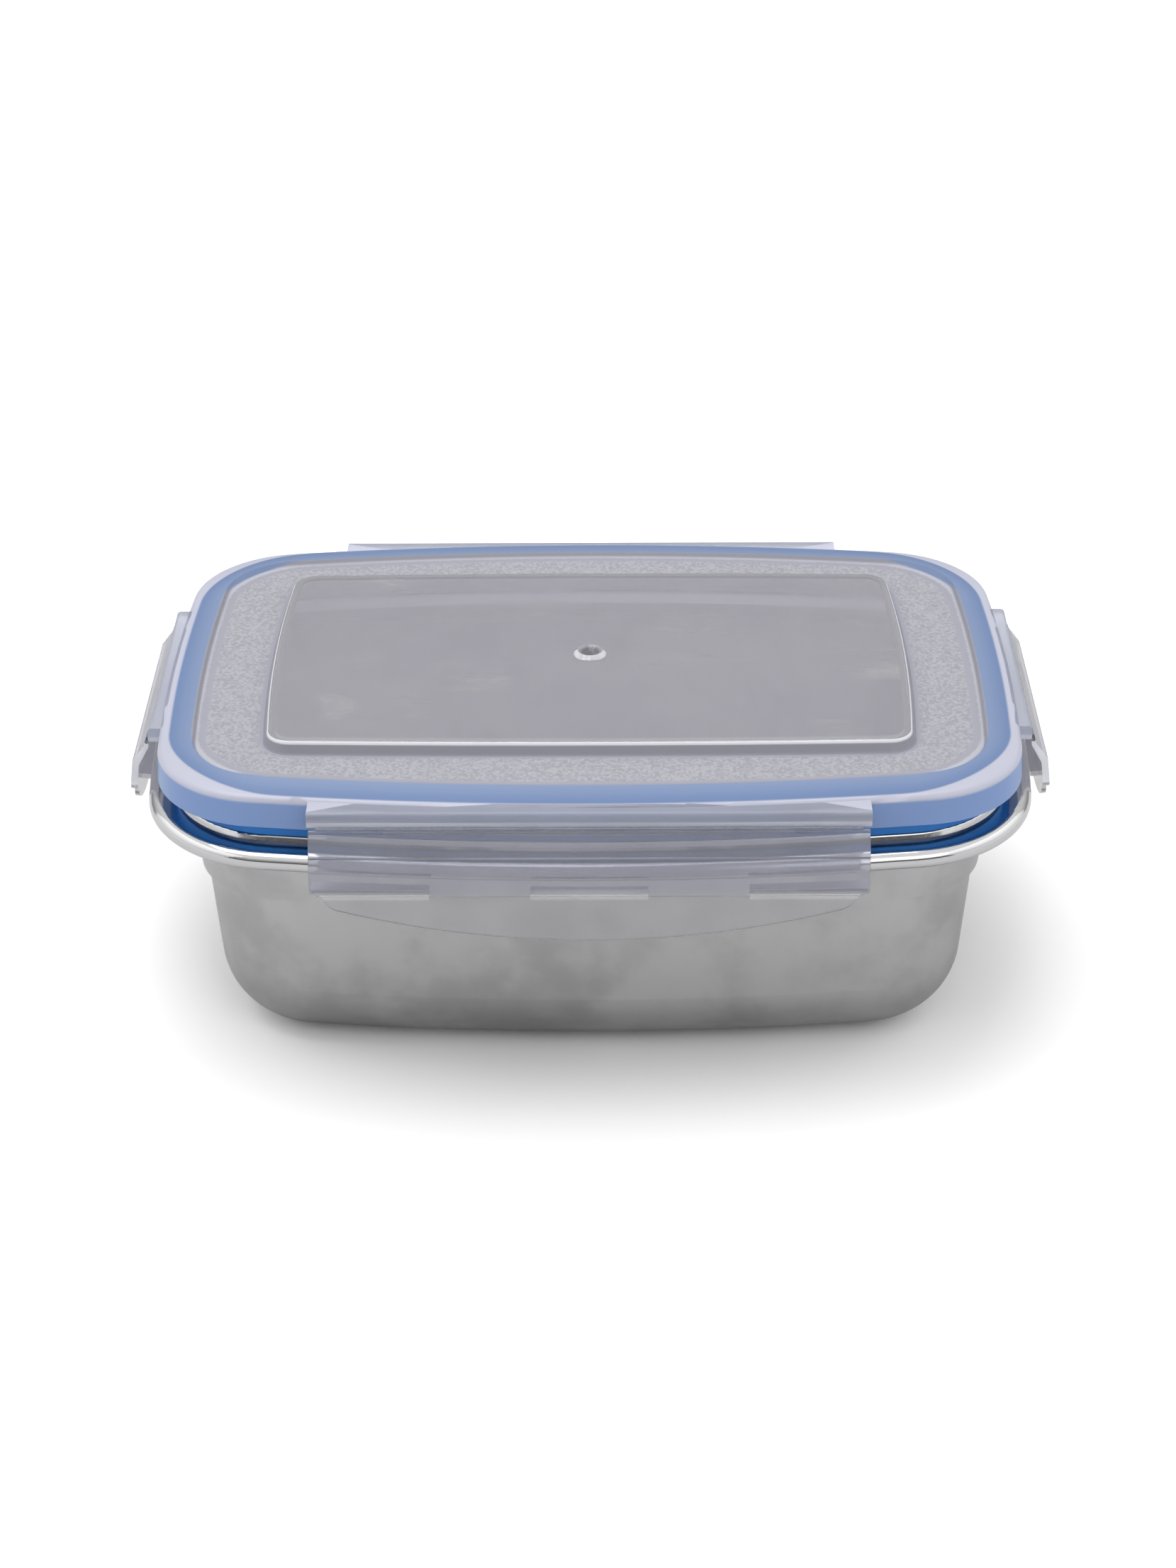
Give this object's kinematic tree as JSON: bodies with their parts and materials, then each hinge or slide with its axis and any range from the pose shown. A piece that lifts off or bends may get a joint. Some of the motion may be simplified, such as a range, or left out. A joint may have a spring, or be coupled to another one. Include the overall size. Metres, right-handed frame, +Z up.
{
  "type": "lunch box",
  "caption": "Deep-drawn steel food box with a bowed rectangular rim, closed by a translucent plastic lid with a rubber gasket and swing-down latches on its sides.",
  "frame": {"origin": "centre of the flat underside the box stands on", "axes": "+Z up, +X along the box's long side, -Y towards the viewer of the picture"},
  "size_m": [0.2032, 0.1426, 0.0747],
  "materials": {
    "steel": "satin, drawn sheet",
    "lid_plastic": "frosted translucent",
    "latch_plastic": "frosted translucent",
    "gasket_rubber": "blue silicone, matt"
  },
  "bodies": {
    "tray": {"steel_tray": "steel"},
    "lid": {"lid": "lid_plastic", "gasket": "gasket_rubber", "front_hinge": "lid_plastic", "back_hinge": "lid_plastic", "left_hinge": "lid_plastic", "right_hinge": "lid_plastic"},
    "front_latch": {"front_latch": "latch_plastic"},
    "back_latch": {"back_latch": "latch_plastic"},
    "left_latch": {"left_latch": "latch_plastic"},
    "right_latch": {"right_latch": "latch_plastic"}
  },
  "joints": [
    {"name": "lid_lift", "type": "slide", "parent": "tray", "child": "lid", "axis": [0, 0, 1], "range_m": [0, 0.09]},
    {"name": "front_latch_swing", "type": "hinge", "parent": "lid", "child": "front_latch", "pos_m": [0, -0.066, 0.0669], "axis": [-1, 0, 0], "range_deg": [-7, 135]},
    {"name": "back_latch_swing", "type": "hinge", "parent": "lid", "child": "back_latch", "pos_m": [0, 0.066, 0.0669], "axis": [1, 0, 0], "range_deg": [-7, 135]},
    {"name": "left_latch_swing", "type": "hinge", "parent": "lid", "child": "left_latch", "pos_m": [-0.0963, 0, 0.0669], "axis": [0, 1, 0], "range_deg": [-7, 135]},
    {"name": "right_latch_swing", "type": "hinge", "parent": "lid", "child": "right_latch", "pos_m": [0.0963, 0, 0.0669], "axis": [0, -1, 0], "range_deg": [-7, 135]}
  ]
}
